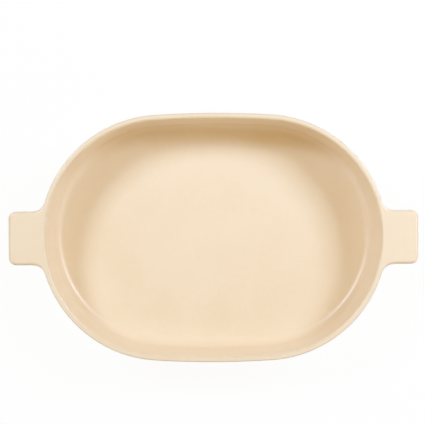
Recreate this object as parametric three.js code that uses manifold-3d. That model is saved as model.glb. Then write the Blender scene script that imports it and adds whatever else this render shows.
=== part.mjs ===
// Oval stoneware baking dish with two flat tab handles. Millimetres, +Z up, the foot stands on z = 0.
// The sizes describe the finished, glazed dish. Clay and glaze lie at set depths under that surface,
// so one profile gives the body, the coats on it and the handles.
import * as THREE from "three";
import Module from "manifold-3d";

const wasm = await Module();
wasm.setup();

// The dish seen from above
const overallLength = 380; // from the tip of one handle to the tip of the other
const handleReach = 29; // how far each handle stands out past the rim
const bodyWidth = 231;
const sideBow = 1.5; // how far the long sides swell past a straight-sided oval

// The dish seen in section
const height = 62;
const outerRimRadius = 1.3; // rounding of the rim's outer edge
const innerRimRadius = 2; // rounding of the rim's inner edge
const rimCrest = 1.8; // flat left on top between the two roundings
const innerDraft = 2.5; // degrees that the inside of the wall leans outwards
const outerDraft = 2;
const coveRadius = 9; // inside corner between wall and floor
const heelRadius = 10; // outside corner between wall and base
const floorThickness = 7;

// The foot ring
const footHeight = 3;
const footLedge = 1.6; // unglazed step from the heel in to the ring
const footWidth = 6;
const footBevel = 0.8;
const recessDepth = 2.5;

// The tab handles
const handleWidth = 50;
const handleThickness = 9.5;
const handleEdge = 3; // rounding along the edges of the tab
const edgeShare = 0.9; // most of a section's height that its two roundings may take up
const handleCorner = 6.5; // rounding of the two outer corners, seen from above
const handleFlare = 12; // reach of the hollow blend that runs from the tab into the wall
const flarePower = 3; // 2 blends along a circle, more hugs the corner and has longer tails
const rootLip = 0.15; // step in which the blend ends on the wall
const rootBite = 1.4; // how deep the tab reaches into the wall before it is trimmed to it

// Coats and joints
const glazeThickness = 0.6;
const bondGap = 0.1; // between a glaze coat and the clay under it
const slipGap = 0.3; // joint between a handle and the bowl

// Fineness of the curves
const endSteps = 9; // from the side of a handle round to the long side
const rootSteps = 10; // across the root of a handle
const sideSteps = 4;
const roundSteps = 3;
const filletSteps = 4;
const flareSteps = 6;
const flatSteps = 6;

const clayDepth = glazeThickness + bondGap;
const crestOffset = -outerRimRadius - rimCrest / 2;
const floorHeight = recessDepth + floorThickness;
const innerLean = THREE.MathUtils.degToRad(innerDraft);
const outerLean = THREE.MathUtils.degToRad(outerDraft);
const quarter = Math.PI / 2;

// The outline is an oval of four arcs: two round ends, and two long sides of a much larger radius
// that meet the ends without a corner.
const bodyLength = overallLength - 2 * handleReach;
const endRadius = bodyWidth / 2 - sideBow;
const endCentre = bodyLength / 2 - endRadius;
const sideCentre = (endCentre ** 2 - sideBow ** 2) / (2 * sideBow);
const sideRadius = bodyWidth / 2 + sideCentre;
const joinAngle = Math.atan2(sideCentre, endCentre);
const rootAngle = Math.asin((handleWidth / 2 + handleFlare) / endRadius);

// Points [u, v] along an arc, both ends included
function arc(u, v, radius, from, to, steps) {
  const points = [];
  for (let i = 0; i <= steps; i++) {
    const angle = from + ((to - from) * i) / steps;
    points.push([u + radius * Math.cos(angle), v + radius * Math.sin(angle)]);
  }
  return points;
}

// Points between two ends, neither included
function between([u0, v0], [u1, v1], steps) {
  const points = [];
  for (let i = 1; i < steps; i++) {
    const share = i / steps;
    points.push([u0 + (u1 - u0) * share, v0 + (v1 - v0) * share]);
  }
  return points;
}

// Ring round the dish at height z, finer where the handles join. A negative offset lies inside
// the rim's outline. Half of the oval is drawn, and turned half round for the rest.
function ovalRing(offset, z) {
  const end = endRadius + offset;
  const side = sideRadius + offset;
  const half = [
    ...arc(endCentre, 0, end, -joinAngle, -rootAngle, endSteps).slice(0, -1),
    ...arc(endCentre, 0, end, -rootAngle, rootAngle, rootSteps).slice(0, -1),
    ...arc(endCentre, 0, end, rootAngle, joinAngle, endSteps).slice(0, -1),
    ...arc(0, -sideCentre, side, joinAngle, Math.PI - joinAngle, sideSteps).slice(0, -1),
  ];
  const outline = [...half, ...half.map(([x, y]) => [-x, -y])];
  return outline.map(([x, y]) => new THREE.Vector3(x, y, z));
}

// Closed skin through a row of rings with the same number of points, capped at both ends.
// Each ring runs anticlockwise as seen from where the row is heading.
function loft(rings, flatten) {
  const count = rings[0].length;
  const last = (rings.length - 1) * count;
  const index = [];
  for (let r = 0; r < last; r += count) {
    for (let i = 0; i < count; i++) {
      const a = r + i;
      const b = r + ((i + 1) % count);
      index.push(a, b, b + count, a, b + count, a + count);
    }
  }
  for (const [a, b, c] of THREE.ShapeUtils.triangulateShape(rings[0].map(flatten), [])) {
    index.push(a, c, b);
  }
  for (const [a, b, c] of THREE.ShapeUtils.triangulateShape(rings.at(-1).map(flatten), [])) {
    index.push(last + a, last + b, last + c);
  }
  const geometry = new THREE.BufferGeometry().setFromPoints(rings.flat());
  geometry.setIndex(index);
  return geometry;
}

// Solid swept round the oval: profile points are [offset, z], in order from the base to the floor
function ovalLoft(profile) {
  const rings = profile.map(([offset, z]) => ovalRing(offset, z));
  return loft(rings, (p) => new THREE.Vector2(p.x, p.y));
}

function toSolid(geometry) {
  const vertProperties = geometry.attributes.position.array;
  const triVerts = new Uint32Array(geometry.index.array);
  return new wasm.Manifold(new wasm.Mesh({ numProp: 3, vertProperties, triVerts }));
}

function toGeometry(solid) {
  const { vertProperties, triVerts } = solid.getMesh();
  const geometry = new THREE.BufferGeometry();
  geometry.setAttribute("position", new THREE.BufferAttribute(vertProperties, 3));
  geometry.setIndex(new THREE.BufferAttribute(triVerts, 1));
  return geometry;
}

// Centres of the four arcs of the section, as [offset, z]. The straight walls touch the arcs at
// their draft angles, which sets how far in the cove and the heel lie.
const outerRimZ = height - outerRimRadius;
const innerRimZ = height - innerRimRadius;
const outerRim = -outerRimRadius;
const innerRim = outerRim - rimCrest;
const coveCentreZ = floorHeight + coveRadius;
const heelCentreZ = footHeight + heelRadius;
const coveDrop = (innerRimZ - coveCentreZ) * Math.sin(innerLean);
const cove = innerRim - (coveDrop + innerRimRadius + coveRadius) / Math.cos(innerLean);
const heelDrop = (outerRimZ - heelCentreZ) * Math.sin(outerLean);
const heel = outerRim - (heelDrop + heelRadius - outerRimRadius) / Math.cos(outerLean);

// Outside of the section at a depth under the finished surface, from the heel up to the crest
function outsideProfile(depth) {
  return [
    ...arc(heel, heelCentreZ, heelRadius - depth, -quarter, -outerLean, filletSteps),
    ...arc(outerRim, outerRimZ, outerRimRadius - depth, -outerLean, quarter, roundSteps),
    [crestOffset, height - depth],
  ];
}

// Inside of the section, from the crest of the rim down to the edge of the flat floor
function cavityProfile(depth) {
  return [
    [crestOffset, height - depth],
    ...arc(innerRim, innerRimZ, innerRimRadius - depth, quarter, Math.PI - innerLean, roundSteps),
    ...arc(cove, coveCentreZ, coveRadius + depth, -innerLean, -quarter, filletSteps),
  ];
}

// Offset of the finished or bare outside of the wall at height z
function wallOffset(z, depth) {
  const rise = z - outerRimZ;
  const radius = outerRimRadius - depth;
  if (rise > -radius * Math.sin(outerLean)) {
    return outerRim + Math.sqrt(Math.max(radius ** 2 - rise ** 2, 0));
  }
  return outerRim + radius / Math.cos(outerLean) + rise * Math.tan(outerLean);
}

// Distance from the middle of the dish to the wall's outside, along X, at the side position y
function wallReach(y, z, depth) {
  return endCentre + Math.sqrt((endRadius + wallOffset(z, depth)) ** 2 - y ** 2);
}

// Cross-section of a tab as [y, z]: a rectangle with rounded corners, anticlockwise
function tabSection(halfWidth, bottom, top, lowerRadius, upperRadius) {
  const room = edgeShare * (top - bottom);
  const up = Math.min(upperRadius, room / 2);
  const low = Math.min(lowerRadius, room - up);
  const right = halfWidth - up;
  const left = -right;
  const upper = top - up;
  const lower = bottom + low;
  const inner = halfWidth - low;
  return [
    ...arc(inner, lower, low, -quarter, 0, filletSteps),
    ...arc(right, upper, up, 0, quarter, filletSteps),
    ...between([right, top], [left, top], flatSteps),
    ...arc(left, upper, up, quarter, 2 * quarter, filletSteps),
    ...arc(-inner, lower, low, 2 * quarter, 3 * quarter, filletSteps),
    ...between([-inner, bottom], [inner, bottom], flatSteps),
  ];
}

// The hollow blend at the root of a tab, as [out, spread]: how far a section has spread sideways and
// downwards at a distance out from the wall. It follows a superellipse that is tangent to both.
function rootBlend(flare) {
  const points = [];
  for (let i = 0; i <= flareSteps; i++) {
    const angle = (quarter * i) / flareSteps;
    const out = flare * (1 - Math.cos(angle) ** (2 / flarePower));
    const spread = flare * (1 - Math.sin(angle) ** (2 / flarePower));
    points.push([rootLip + out, spread]);
  }
  return points;
}

// A tab handle at the +X end: sections are carried from the wall out to the tip. Near the wall they
// spread along the blend, so that tab and wall flow together and the top runs level into the rim.
// At the tip they draw in along the round of the outer corners and the round of the edges.
// The first sections bend with the wall, and the last one lies flat across the tip.
function tabHandle(depth) {
  const tip = overallLength / 2 - depth;
  const reach = tip - wallReach(0, outerRimZ, depth);
  const corner = handleCorner - depth;
  const edge = handleEdge - depth;
  const blend = rootBlend(handleFlare + depth);
  const round = arc(reach - corner, 0, corner, quarter, 0, filletSteps + 1);
  const stations = [
    { out: -rootBite, spread: blend[0][1], narrow: 0 },
    ...blend.map(([out, spread]) => ({ out, spread, narrow: 0 })),
    ...round.map(([out, half]) => ({ out, spread: 0, narrow: corner - half })),
  ];
  const rings = stations.map(({ out, spread, narrow }) => {
    const past = Math.max(out - (reach - edge), 0);
    const thin = edge - Math.sqrt(Math.max(edge ** 2 - past ** 2, 0));
    const section = tabSection(
      handleWidth / 2 - depth + spread - narrow,
      height - handleThickness + depth - spread + thin,
      height - depth - thin,
      edge + spread,
      edge,
    );
    return section.map(([y, z]) => {
      const x = THREE.MathUtils.lerp(wallReach(y, z, depth), tip, out / reach);
      return new THREE.Vector3(x, y, z);
    });
  });
  return loft(rings, (p) => new THREE.Vector2(p.y, p.z));
}

function wallSolid(depth) {
  return toSolid(ovalLoft(outsideProfile(depth)));
}

function handleSolids(depth) {
  const right = toSolid(tabHandle(depth));
  return { right, left: right.rotate([0, 0, 180]) };
}

// The clay body, from the recess in the base round the foot ring, up the outside and down the inside
const soleOuter = heel - footLedge;
const soleInner = soleOuter - footWidth;
const bowl = ovalLoft([
  [soleInner, recessDepth + clayDepth],
  [soleInner, footBevel],
  [soleInner + footBevel, 0],
  [soleOuter - footBevel, 0],
  [soleOuter, footBevel],
  [soleOuter, footHeight + clayDepth],
  ...outsideProfile(clayDepth),
  ...cavityProfile(clayDepth).slice(1),
]);

// Each handle ends at the wall, with room for the slip that joins it
const clayHandles = handleSolids(clayDepth);
const joint = wallSolid(clayDepth - slipGap);
const rightHandle = toGeometry(clayHandles.right.subtract(joint));
const leftHandle = toGeometry(clayHandles.left.subtract(joint));

// The inside coat: its back follows the clay up from the floor, its face comes down again
const insideGlaze = ovalLoft([...cavityProfile(glazeThickness).reverse(), ...cavityProfile(0)]);

// The outside coat: everything between the finished surface and the clay, open at the crest of the
// rim, where the inside coat takes over, and at the heel, where the bare foot begins
function outerForm(depth) {
  const { left, right } = handleSolids(depth);
  return wallSolid(depth).add(left).add(right);
}
const core = toSolid(
  ovalLoft([
    [heel, -footHeight],
    [heel, heelCentreZ],
    [crestOffset + bondGap, outerRimZ - outerRimRadius],
    [crestOffset + bondGap, height + outerRimRadius],
  ]),
);
const outsideGlaze = toGeometry(outerForm(0).subtract(outerForm(glazeThickness)).subtract(core));

// The coat on the recess, clear of the bare ring
const baseEdge = soleInner - bondGap;
const baseGlaze = ovalLoft([
  [baseEdge, recessDepth],
  [baseEdge, recessDepth + glazeThickness],
]);

const clay = { color: 0xcbb497, roughness: 0.85, metalness: 0 };
const glaze = { color: 0xf3dfc3, roughness: 0.3, metalness: 0 };

const dish = new THREE.Group();
dish.name = "stoneware_baking_dish";
function place(name, geometry, look) {
  geometry.computeVertexNormals();
  const mesh = new THREE.Mesh(geometry, new THREE.MeshStandardMaterial(look));
  mesh.name = name;
  dish.add(mesh);
}
place("stoneware_bowl", bowl, clay);
place("left_handle", leftHandle, clay);
place("right_handle", rightHandle, clay);
place("inside_glaze", insideGlaze, glaze);
place("outside_glaze", outsideGlaze, glaze);
place("base_glaze", baseGlaze, glaze);

export default dish;
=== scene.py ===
import math

import bpy
import numpy as np
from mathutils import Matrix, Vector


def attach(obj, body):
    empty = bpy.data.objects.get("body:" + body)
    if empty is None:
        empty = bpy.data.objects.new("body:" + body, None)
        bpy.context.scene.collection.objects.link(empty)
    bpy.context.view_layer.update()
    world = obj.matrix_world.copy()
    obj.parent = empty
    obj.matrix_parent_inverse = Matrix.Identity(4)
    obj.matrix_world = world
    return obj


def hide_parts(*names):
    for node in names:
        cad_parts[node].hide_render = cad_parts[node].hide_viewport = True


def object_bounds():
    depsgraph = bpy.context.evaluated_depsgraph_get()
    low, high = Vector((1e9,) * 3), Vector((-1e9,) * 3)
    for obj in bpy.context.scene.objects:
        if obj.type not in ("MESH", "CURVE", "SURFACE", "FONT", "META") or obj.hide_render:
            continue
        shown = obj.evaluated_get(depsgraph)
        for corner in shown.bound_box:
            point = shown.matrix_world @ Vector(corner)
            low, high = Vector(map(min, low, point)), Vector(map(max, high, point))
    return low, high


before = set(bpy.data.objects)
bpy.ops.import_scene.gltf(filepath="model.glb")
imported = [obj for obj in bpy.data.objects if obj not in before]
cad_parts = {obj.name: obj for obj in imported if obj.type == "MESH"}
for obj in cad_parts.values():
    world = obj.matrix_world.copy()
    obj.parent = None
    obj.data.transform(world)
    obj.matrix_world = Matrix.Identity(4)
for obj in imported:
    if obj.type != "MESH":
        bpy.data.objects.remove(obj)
cad_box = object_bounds()

# The bowl: one pressed piece of buff stoneware with a steep wall, a flat floor and a foot ring.
# Glaze covers it everywhere but on the foot, which is wiped clean so that it can't stick in the kiln.
overall_length, body_width, height = cad_box[1] - cad_box[0]
handle_reach = 0.029
side_bow = 0.0015
outer_rim_radius = 0.0013
inner_rim_radius = 0.0020
rim_crest = 0.0018
inner_lean = math.radians(2.5)
outer_lean = math.radians(2)
cove_radius = 0.009
heel_radius = 0.010
recess_depth = 0.0025
floor_thickness = 0.007
foot_height = 0.003
foot_ledge = 0.0016
foot_width = 0.006
foot_round = 0.0008
glaze_thickness = 0.0006
bond_gap = 0.0001
clay_colour = (203, 180, 151)
clay_shadow = (176, 150, 120)
clay_speck = (112, 84, 62)
quarter = math.pi / 2

# The oval has two round ends and two long sides of a much larger radius, which meet without a corner.
end_steps = 128
side_steps = 20
end_radius = body_width / 2 - side_bow
end_centre = overall_length / 2 - handle_reach - end_radius
side_centre = (end_centre**2 - side_bow**2) / (2 * side_bow)
side_radius = body_width / 2 + side_centre
join_angle = math.atan2(side_centre, end_centre)
end_turn = np.linspace(-join_angle, join_angle, end_steps, endpoint=False)
side_turn = np.linspace(join_angle, math.pi - join_angle, side_steps, endpoint=False)
turn = np.concatenate([end_turn, side_turn, end_turn + math.pi, side_turn + math.pi])
on_end = np.tile(np.repeat([True, False], [end_steps, side_steps]), 2)
first_half = turn < math.pi - join_angle
way = np.where(first_half, 1, -1)
oval_centre = np.stack([way * on_end * end_centre, -way * ~on_end * side_centre], axis=1)
oval_radius = np.where(on_end, end_radius, side_radius)
oval_normal = np.stack([np.cos(turn), np.sin(turn)], axis=1)

# The section's places: across, from the widest line of the wall inwards, and up from the table. Each
# straight wall touches the arcs at its two ends, at the wall's lean.
clay_depth = glaze_thickness + bond_gap
floor_height = recess_depth + floor_thickness
outer_rim_z = height - outer_rim_radius
inner_rim_z = height - inner_rim_radius
outer_rim = -outer_rim_radius
inner_rim = outer_rim - rim_crest
crest = outer_rim - rim_crest / 2
cove_centre_z = floor_height + cove_radius
heel_centre_z = foot_height + heel_radius
cove_drop = (inner_rim_z - cove_centre_z) * math.sin(inner_lean)
cove = inner_rim - (cove_drop + inner_rim_radius + cove_radius) / math.cos(inner_lean)
heel_drop = (outer_rim_z - heel_centre_z) * math.sin(outer_lean)
heel = outer_rim - (heel_drop + heel_radius - outer_rim_radius) / math.cos(outer_lean)
sole_outer = heel - foot_ledge
sole_inner = sole_outer - foot_width
wide_arc_steps = 16
rim_steps = 12
foot_steps = 6
wall_steps = 8
long_stretch = 0.001
crease_angle = math.radians(50)
# Share of the brown edge on the inner rim: glaze thinning and painted shade.
inner_rim_wear_and_shade = 0.3


def arc(u, v, radius, start, end, count, thin_glaze_and_shade=0, pool=0):
    """Profile points on an arc: the centre (u, v) plus the radius times the cosine and the sine of
    evenly spaced angles. Pool, where glaze gathers, swells as half a sine wave. The edge mark, for
    glaze thinning off an edge and for painted shade on the rounding, is half a sine wave over the root
    of the share, so it peaks early on the arc."""
    share = np.linspace(0, 1, count)
    angle = start + (end - start) * share
    run_off_and_shade = thin_glaze_and_shade * np.sin(math.pi * np.sqrt(share))
    gather = pool * np.sin(math.pi * share)
    return np.stack([u + radius * np.cos(angle), v + radius * np.sin(angle), run_off_and_shade, gather], axis=1)


def fill_in(points):
    """A profile through the points, with more of them on each long stretch between two neighbours:
    evenly spaced shares of the straight line between them."""
    rows = [points[:1]]
    for first, last in zip(points[:-1], points[1:]):
        steps = wall_steps if np.hypot(*(last - first)[:2]) > long_stretch else 1
        rows.append(np.linspace(first, last, steps + 1)[1:])
    return np.concatenate(rows)


def outside(depth):
    """Outer side of the section at a depth under the surface, from the heel up to the crest: the arc
    of the heel, the straight wall, the arc of the rim and the flat of the crest."""
    rim_round = outer_rim_radius - depth
    points = [
        arc(heel, heel_centre_z, heel_radius - depth, -quarter, -outer_lean, wide_arc_steps),
        # The outer rim is marked for the brown edge: glaze thinning and painted shade where it turns down.
        arc(outer_rim, outer_rim_z, rim_round, -outer_lean, quarter, rim_steps, thin_glaze_and_shade=1),
        [[crest, height - depth, 0, 0]],
    ]
    return fill_in(np.concatenate(points))


def cavity(depth):
    """Inner side of the section at a depth under the surface, from the crest down to the floor: the
    flat of the crest, the arc of the rim, the straight wall and the arc of the cove."""
    rim_round = inner_rim_radius - depth
    rim_end = math.pi - inner_lean
    points = [
        [[crest, height - depth, 0, 0]],
        arc(inner_rim, inner_rim_z, rim_round, quarter, rim_end, rim_steps, thin_glaze_and_shade=inner_rim_wear_and_shade),
        arc(cove, cove_centre_z, cove_radius + depth, -inner_lean, -quarter, wide_arc_steps, pool=1),
    ]
    return fill_in(np.concatenate(points))


def carry_round(profile):
    """Rings of points where a profile is carried round the oval: each point is its arc's centre plus
    the normal times the arc's radius and the profile's offset. The edge mark of thinning glaze and
    painted shade, and the pool, go with the points."""
    offset, z, *glaze_flow = profile.T[:, :, None]
    x, y = oval_centre.T[:, None, :] + (oval_radius + offset) * oval_normal.T[:, None, :]
    return np.stack(np.broadcast_arrays(x, y, z, *glaze_flow), axis=-1)


def skin(name, rings, material, loop=False, flat_rings=14):
    """Closed surface through rings of points: four-sided faces between neighbouring rings, and either
    the last ring joined to the first, or both ends filled by rings that shrink to a point."""
    if not loop:
        share = np.linspace(1, 0, flat_rings, endpoint=False)[1:, None, None]
        ends = rings[[0, -1]]
        middles = np.mean(ends, axis=1)
        first_fill, last_fill = [mid + (ring - mid) * share for mid, ring in zip(middles, ends)]
        rings = np.concatenate([first_fill[::-1], rings, last_fill])
    rows, columns, values = rings.shape
    points = rings.reshape(-1, values)
    index = np.arange(rows * columns).reshape(rows, columns)
    if loop:
        index = np.concatenate([index, index[:1]])
    beside = np.roll(index, -1, axis=1)
    corners = [index[:-1], beside[:-1], beside[1:], index[1:]]
    faces = np.stack(corners, axis=-1).reshape(-1, len(corners)).tolist()
    if not loop:
        first_pole = np.full(columns, len(points))
        faces += np.stack([first_pole, beside[0], index[0]], axis=-1).tolist()
        faces += np.stack([first_pole + 1, index[-1], beside[-1]], axis=-1).tolist()
        points = np.concatenate([points, rings[[0, -1]].mean(axis=1)])
    mesh = bpy.data.meshes.new(name)
    mesh.from_pydata(points[:, :3].tolist(), [], faces)
    for flow, amounts in zip(("thin_glaze_and_shade", "pool"), points[:, 3:].T):
        mesh.attributes.new(flow, "FLOAT", "POINT").data.foreach_set("value", amounts)
    mesh.shade_smooth()
    mesh.set_sharp_from_angle(angle=crease_angle)
    mesh.materials.append(material)
    piece = bpy.data.objects.new(name, mesh)
    bpy.context.scene.collection.objects.link(piece)
    return piece


def paint(red, green, blue):
    """Linear colour of a paint that is given as it looks on a screen, from 0 to 255: the standard
    screen curve, which is a straight line near black and a power above it."""
    shares = [value / 255 for value in (red, green, blue)]
    return [s / 12.92 if s <= 0.04045 else ((s + 0.055) / 1.055) ** 2.4 for s in shares] + [1]


class Shade:
    """A socket of a material. Operators on it add Math nodes, and node() adds any other node."""

    def __init__(self, tree, socket=None):
        self.tree = tree
        self.socket = socket

    def node(self, kind, settings=None, sockets=None, output=0):
        """Adds a node. Its settings are set first, then each socket gets its value or its link."""
        made = self.tree.nodes.new(kind)
        for name, value in (settings or {}).items():
            setattr(made, name, value)
        for name, value in (sockets or {}).items():
            if isinstance(value, Shade):
                self.tree.links.new(value.socket, made.inputs[name])
            else:
                made.inputs[name].default_value = value
        return Shade(self.tree, made.outputs[output])

    def maths(self, operation, first, second):
        return self.node("ShaderNodeMath", {"operation": operation}, {0: first, 1: second})

    def __add__(self, other):
        return self.maths("ADD", self, other)

    def __sub__(self, other):
        return self.maths("SUBTRACT", self, other)

    def __rsub__(self, other):
        return self.maths("SUBTRACT", other, self)

    def __mul__(self, other):
        return self.maths("MULTIPLY", self, other)

    def __gt__(self, other):
        return self.maths("GREATER_THAN", self, other)

    def __lt__(self, other):
        return self.maths("LESS_THAN", self, other)

    __radd__ = __add__
    __rmul__ = __mul__

    def feed(self, shader, name):
        """Links this value to a socket of a shader."""
        self.tree.links.new(self.socket, shader.inputs[name])

    def blend(self, first, second):
        """Colour that goes from the first to the second as this value goes from 0 to 1."""
        return self.node("ShaderNodeMix", {"data_type": "RGBA"}, {0: self, 6: first, 7: second}, 2)

    def relief(self, strength, depth):
        """Normal of a surface that this value lifts by up to the depth, in metres."""
        sockets = {"Height": self, "Strength": strength, "Distance": depth}
        return self.node("ShaderNodeBump", None, sockets)

    def noise(self, place, size, detail=2.0):
        """Soft noise from 0 to 1 whose blotches are about the given size, in metres."""
        sockets = {"Vector": place, "Scale": 1 / size, "Detail": detail}
        return self.node("ShaderNodeTexNoise", None, sockets)

    def scatter(self, place, spacing, radius, least):
        """Round dots of a radius, 1 on a dot and 0 between, one in each cell of about the spacing, in
        metres. They stay only where soft noise of five times that size is above the least value."""
        sockets = {"Vector": place, "Scale": 1 / spacing}
        apart = self.node("ShaderNodeTexVoronoi", None, sockets, "Distance")
        return (apart < radius / spacing) * (self.noise(place, spacing * 5) > least)


def new_material(name):
    """An empty material, its principled shader and the start of its patterns."""
    material = bpy.data.materials.new(name)
    material.use_nodes = True
    return material, material.node_tree.nodes["Principled BSDF"], Shade(material.node_tree)


def bare_clay():
    """Unglazed stoneware: sandy grain, darker hollows between the grains and a few iron specks. The
    tone is a weighted sum of fine grain and slow drift, and the grain gives relief and roughness."""
    material, shader, start = new_material("bare_clay")
    place = start.node("ShaderNodeTexCoord", output="Object")
    grain = start.noise(place, size=0.0009, detail=4.0)
    drift = start.noise(place, size=0.03)
    specks = start.scatter(place, spacing=0.0024, radius=0.0004, least=0.55)
    tone = (grain * 0.6 + drift * 0.4).blend(paint(*clay_shadow), paint(*clay_colour))
    colour = (specks * 0.7).blend(tone, paint(*clay_speck))
    colour.feed(shader, "Base Color")
    (0.82 + grain * 0.14).feed(shader, "Roughness")
    grain.relief(strength=0.5, depth=0.0002).feed(shader, "Normal")
    return material


foot_profile = [
    [[sole_inner, recess_depth + clay_depth, 0, 0]],
    arc(sole_inner + foot_round, foot_round, foot_round, -2 * quarter, -quarter, foot_steps),
    arc(sole_outer - foot_round, foot_round, foot_round, -quarter, 0, foot_steps),
    [[sole_outer, foot_height + clay_depth, 0, 0]],
]
bowl_profile = np.concatenate([*foot_profile, outside(clay_depth), cavity(clay_depth)[1:]])
bowl = skin("bowl", carry_round(bowl_profile), bare_clay())
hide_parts("stoneware_bowl")
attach(bowl, "root")

# The inside coat: a satin cream glaze over the floor, the wall and half of the rim. It is poured in
# and fired on. It gathers in the cove. Its rim edge is browner, partly glaze thinning over the clay
# and partly painted shade on the rounding.
glaze_colour = (244, 227, 201)
glaze_deep = (240, 218, 186)
glaze_pooled = (236, 210, 174)
# Brown of the marked edges: partly clay under thinning glaze, partly painted shade on the roundings.
glaze_worn_and_shade = (198, 178, 153)
glaze_speck = (172, 136, 98)
tone_mean = 0.4
cloud_share = 0.9
mottle_share = 0.5
grain_share = 0.8
pool_share = 0.5
gloss_weight = 0.68
gloss_roughness = 0.28


def satin_glaze():
    """Cream glaze under a weak gloss. Its tone is a mean plus weighted noises about their middle: slow
    cloud, mottle and fine grain. It is warmer where it pools, and has small iron specks. On marked edges
    it is browner, partly glaze thinning over the clay and partly painted shade on the roundings. Its
    skin is slightly rippled, dimpled like an orange and finely pitted."""
    material, shader, start = new_material("satin_glaze")
    place = start.node("ShaderNodeTexCoord", output="Object")
    thin_glaze_and_shade = start.node("ShaderNodeAttribute", {"attribute_name": "thin_glaze_and_shade"}, output="Fac")
    pool = start.node("ShaderNodeAttribute", {"attribute_name": "pool"}, output="Fac")
    cloud = start.noise(place, size=0.04)
    mottle = start.noise(place, size=0.004, detail=3.0)
    grain = start.noise(place, size=0.0007)
    swing = (cloud - 0.5) * cloud_share + (mottle - 0.5) * mottle_share + (grain - 0.5) * grain_share
    body = (tone_mean + swing).blend(paint(*glaze_colour), paint(*glaze_deep))
    deeper = (pool * pool_share).blend(body, paint(*glaze_pooled))
    # Painted shade and thinning glaze: the marked edges blend towards the brown.
    worn_and_shade = (thin_glaze_and_shade * (0.45 + mottle * 0.4)).blend(deeper, paint(*glaze_worn_and_shade))
    large_specks = start.scatter(place, spacing=0.006, radius=0.00024, least=0.58)
    small_specks = start.scatter(place, spacing=0.0026, radius=0.00014, least=0.52)
    specks = (large_specks + small_specks) * (0.25 + grain * 0.4)
    colour = specks.blend(worn_and_shade, paint(*glaze_speck))
    ripple = start.noise(place, size=0.018, detail=1.0)
    peel = start.noise(place, size=0.0024, detail=1.0)
    pits = start.scatter(place, spacing=0.0041, radius=0.0002, least=0.5)
    skin_height = ripple + peel * 0.14 - pits * 0.06
    colour.feed(shader, "Base Color")
    (0.55 + mottle * 0.06 + thin_glaze_and_shade * 0.05).feed(shader, "Roughness")
    skin_height.relief(strength=0.5, depth=0.0003).feed(shader, "Normal")
    shader.inputs["Coat Weight"].default_value = gloss_weight
    shader.inputs["Coat Roughness"].default_value = gloss_roughness
    return material


glaze = satin_glaze()
inside_profile = np.concatenate([cavity(glaze_thickness)[::-1], cavity(0)])
inside_coat = skin("inside_coat", carry_round(inside_profile), glaze)
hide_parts("inside_glaze")
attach(inside_coat, "root")

# The outside coat: the same glaze from the crest of the rim down to the heel. It is dipped on, and ends
# in a rounded edge above the bare foot, where it is wiped off before firing.
edge_round = glaze_thickness / 2
edge_steps = 7
outside_edge = arc(heel, foot_height + edge_round, edge_round, -quarter, -3 * quarter, edge_steps)
outside_profile = np.concatenate([outside_edge[::-1], outside(0)[1:], outside(glaze_thickness)[:0:-1]])
outside_coat = skin("outside_coat", carry_round(outside_profile), glaze, loop=True)
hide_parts("outside_glaze")
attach(outside_coat, "root")

# The base coat: the same glaze on the shallow recess inside the foot ring. It ends in a rounded edge
# just short of the ring, which stays bare.
base_edge = sole_inner - clay_depth
base_profile = arc(base_edge, recess_depth + edge_round, edge_round, -quarter, quarter, edge_steps)
base_coat = skin("base_coat", carry_round(base_profile), glaze)
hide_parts("base_glaze")
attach(base_coat, "root")

# The two handles: flat tabs of the same clay, joined to the ends with slip and glazed with the wall.
# Their tops are level with the rim, and a hollow blend carries their sides and undersides into the wall.
handle_width = 0.050
handle_thickness = 0.0095
handle_edge = 0.003
edge_share = 0.9
handle_corner = 0.0065
handle_flare = 0.012
flare_power = 3
root_bite = 0.0008
# Share of the brown on tab edges and tip: glaze thinning and painted shade.
handle_wear_and_shade = 0.4
flare_steps = 28
straight_steps = 8
corner_steps = 20
edge_points = 10
side_points = 4
flat_points = 14


def wall_reach(y, z):
    """How far out along X the outer wall lies at the side position y and the height z: the centre of
    the round end plus the other leg of a right triangle on the end's radius at that height."""
    rise = z - outer_rim_z
    round_offset = outer_rim + np.sqrt(np.maximum(outer_rim_radius**2 - rise**2, 0))
    straight_offset = outer_rim + outer_rim_radius / math.cos(outer_lean) + rise * math.tan(outer_lean)
    on_round = rise > -outer_rim_radius * math.sin(outer_lean)
    offset = np.where(on_round, round_offset, straight_offset)
    return end_centre + np.sqrt((end_radius + offset) ** 2 - y**2)


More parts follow.
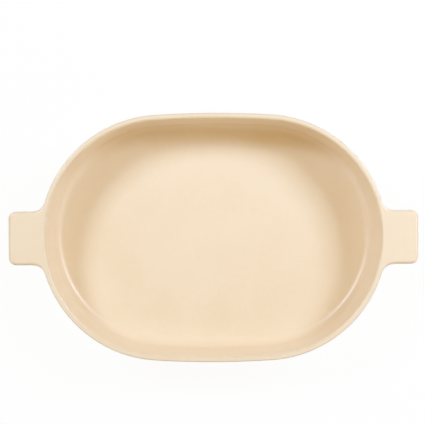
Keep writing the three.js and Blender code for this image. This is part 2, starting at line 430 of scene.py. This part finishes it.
def tab_rings():
    """Rings of the right handle from the wall to the tip. Each is a rectangle with rounded corners.
    Near the wall it widens along a superellipse, which is tangent to tab and wall, and at the tip it
    draws in along the quarter circles of the outer corners and of the edges."""
    tip = overall_length / 2
    reach = tip - wall_reach(0, outer_rim_z)
    bend = np.linspace(0, quarter, flare_steps)
    straight = np.linspace(handle_flare, reach - handle_corner, straight_steps)[1:-1]
    corner = np.linspace(quarter, 0, corner_steps)
    plain = np.zeros(len(straight) + len(corner))
    flare_out = handle_flare * (1 - np.cos(bend) ** (2 / flare_power))
    flare_spread = handle_flare * (1 - np.sin(bend) ** (2 / flare_power))
    corner_out = reach - handle_corner * (1 - np.cos(corner))
    out = np.concatenate([[-root_bite], flare_out, straight, corner_out])[:, None]
    spread = np.concatenate([[handle_flare], flare_spread, plain])[:, None]
    hollow = np.concatenate([[0], np.sin(2 * bend), plain])[:, None]
    narrow = np.zeros_like(out)
    narrow[-corner_steps:, 0] = handle_corner * (1 - np.sin(corner))
    past = np.maximum(out - (reach - handle_edge), 0) / handle_edge
    thinned = handle_edge * (1 - np.sqrt(np.maximum(1 - past**2, 0)))
    narrow[0] = thinned[0] = root_bite

    half = handle_width / 2 + spread - narrow
    bottom = height - handle_thickness - spread + thinned
    top = height - thinned
    edge_room = edge_share * (top - bottom)
    upper = np.minimum(handle_edge, edge_room / 2)
    lower = np.minimum(handle_edge + spread, edge_room - upper)
    low_z = bottom + lower
    high_z = top - upper
    sharp = np.sin(math.pi * np.linspace(0, 1, edge_points))[None, :]
    corners = []
    corner_arcs = [(1, lower, low_z), (1, upper, high_z), (-1, upper, high_z), (-1, lower, low_z)]
    for number, (side, radius, centre_z) in enumerate(corner_arcs):
        angle = (number - 1) * quarter + np.linspace(0, quarter, edge_points)[None, :]
        y = side * (half - radius) + radius * np.cos(angle)
        z = centre_z + radius * np.sin(angle)
        corners.append(np.stack([y, z, sharp * (handle_edge / radius)], axis=-1))
    sections = []
    between = (side_points, flat_points, side_points, flat_points)
    for first, last, steps in zip(corners, corners[1:] + corners[:1], between):
        sections += [first, np.linspace(first[:, -1], last[:, 0], steps + 1, axis=1)[:, 1:-1]]
    y, z, thin_glaze_and_shade = np.moveaxis(np.concatenate(sections, axis=1), -1, 0)
    x = wall_reach(y, z) * (1 - out / reach) + tip * out / reach
    tip_turn = np.arcsin(np.minimum(past, 1))
    # Tab edges and tip get the brown edge mark: glaze thinning and painted shade on the roundings.
    wear_and_shade = handle_wear_and_shade * np.maximum(thin_glaze_and_shade * np.cos(tip_turn), np.sin(2 * tip_turn))
    pool = hollow * np.clip(2 * (top - z) / (top - bottom), 0, 1)
    return np.stack([x, y, z, wear_and_shade, pool], axis=-1)


right_rings = tab_rings()
half_turn = [-1, -1, 1, 1, 1]
for name, rings in (("right_tab", right_rings), ("left_tab", right_rings * half_turn)):
    tab = skin(name, rings, glaze, flat_rings=4)
    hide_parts(name.replace("tab", "handle"))
    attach(tab, "root")

# The stage: a wide white floor that keeps part of the dish's shadow, and low white walls far off, so
# that a view from near the ground is white too.
floor_size = 24.0
backdrop_height = 6.0
floor_colour = (247, 247, 247)
floor_roughness = 0.9
white_share = 0.94
floor_mesh = bpy.data.meshes.new("floor")
floor_corners = np.array([[-1, -1, 0], [1, -1, 0], [1, 1, 0], [-1, 1, 0]]) * floor_size / 2
backdrop_corners = floor_corners + [0, 0, backdrop_height]
backdrop_faces = [[side, side + 4, (side + 1) % 4 + 4, (side + 1) % 4] for side in range(4)]
floor_mesh.from_pydata([*floor_corners, *backdrop_corners], [], [[0, 1, 2, 3], *backdrop_faces])
floor = bpy.data.objects.new("floor", floor_mesh)
bpy.context.scene.collection.objects.link(floor)
floor_paint, floor_shader, start = new_material("floor_paint")
floor_shader.inputs["Base Color"].default_value = paint(*floor_colour)
floor_shader.inputs["Roughness"].default_value = floor_roughness
glow = start.node("ShaderNodeEmission", None, {"Color": (1, 1, 1, 1), "Strength": 1})
camera_ray = start.node("ShaderNodeLightPath", output="Is Camera Ray")
glossy_ray = start.node("ShaderNodeLightPath", output="Is Glossy Ray")
clear_ray = start.node("ShaderNodeLightPath", output="Is Transmission Ray")
seen = (camera_ray + glossy_ray + clear_ray) * white_share
surface = Shade(floor_paint.node_tree, floor_shader.outputs[0])
mixed = start.node("ShaderNodeMixShader", None, {0: seen, 1: surface, 2: glow})
mixed.feed(floor_paint.node_tree.nodes["Material Output"], "Surface")
floor_mesh.materials.append(floor_paint)

# The light: two soft boxes behind the dish give the shadows, two lower ones in front lift the walls,
# and two white cards show only in the gloss. The dim room is warm, as light between warm surfaces is.
warm = (1.6, 1.0, 0.14)
cool = (0.76, 1.0, 1.355)
white = (1, 1, 1)
room_strength = 0.293
room = bpy.data.worlds.new("white_room")
bpy.context.scene.world = room
room.use_nodes = True
background = room.node_tree.nodes["Background"]
background.inputs["Color"].default_value = (*warm, 1)
background.inputs["Strength"].default_value = room_strength


def soft_box(name, azimuth, elevation, distance, size, watts, tint=cool):
    """A square lamp in the direction of two angles, in degrees, from the middle of the dish: cosines
    and sines give its place, and it is turned by the same angles to face the dish."""
    around, up = math.radians(azimuth), math.radians(elevation)
    lamp = bpy.data.lights.new(name, "AREA")
    lamp.size = size
    lamp.energy = watts
    lamp.color = tint
    holder = bpy.data.objects.new(name, lamp)
    bpy.context.scene.collection.objects.link(holder)
    level = distance * math.cos(up)
    holder.location = (level * math.cos(around), level * math.sin(around), distance * math.sin(up))
    holder.rotation_euler = (quarter - up, 0, around + quarter)
    return holder


soft_box("right_box", azimuth=30, elevation=44, distance=1.3, size=0.4, watts=7.75)
soft_box("left_box", azimuth=141, elevation=48, distance=2.0, size=0.5, watts=14.6)
soft_box("front_left_box", azimuth=215, elevation=28, distance=1.6, size=0.8, watts=3.9)
soft_box("front_right_box", azimuth=330, elevation=27, distance=1.6, size=0.8, watts=3.75)
right_card = soft_box("right_card", azimuth=7, elevation=44, distance=1.3, size=0.5, watts=3.7, tint=white)
left_card = soft_box("left_card", azimuth=162, elevation=46, distance=2.0, size=0.65, watts=10.0, tint=white)
right_card.visible_diffuse = False
left_card.visible_diffuse = False

# The camera looks almost straight down on the dish, from a metre above its rim. The dish's length and
# its place in the picture are in pixels, and the two leans say how far the camera is off to the side.
camera_height = 1.0
sensor_width = 36
frame_pixels = 425
length_pixels = 411.2
pixel = overall_length / length_pixels
dish_right = 0.4 * pixel
dish_down = 25.3 * pixel
lean_right = 0.009
lean_back = 0.022
tilt_right = math.atan2(lean_right, camera_height)
tilt_back = math.atan2(lean_back, camera_height)
roll = math.radians(-0.26)
camera = bpy.data.cameras.new("camera")
camera.sensor_width = sensor_width
camera.lens = sensor_width * camera_height / (frame_pixels * pixel)
tripod = bpy.data.objects.new("camera", camera)
bpy.context.scene.collection.objects.link(tripod)
tripod.location = (-dish_right + lean_right, dish_down + lean_back, height + camera_height)
tripod.rotation_euler = (-tilt_back, tilt_right, roll)
bpy.context.scene.camera = tripod
bpy.context.scene.view_settings.view_transform = "Standard"
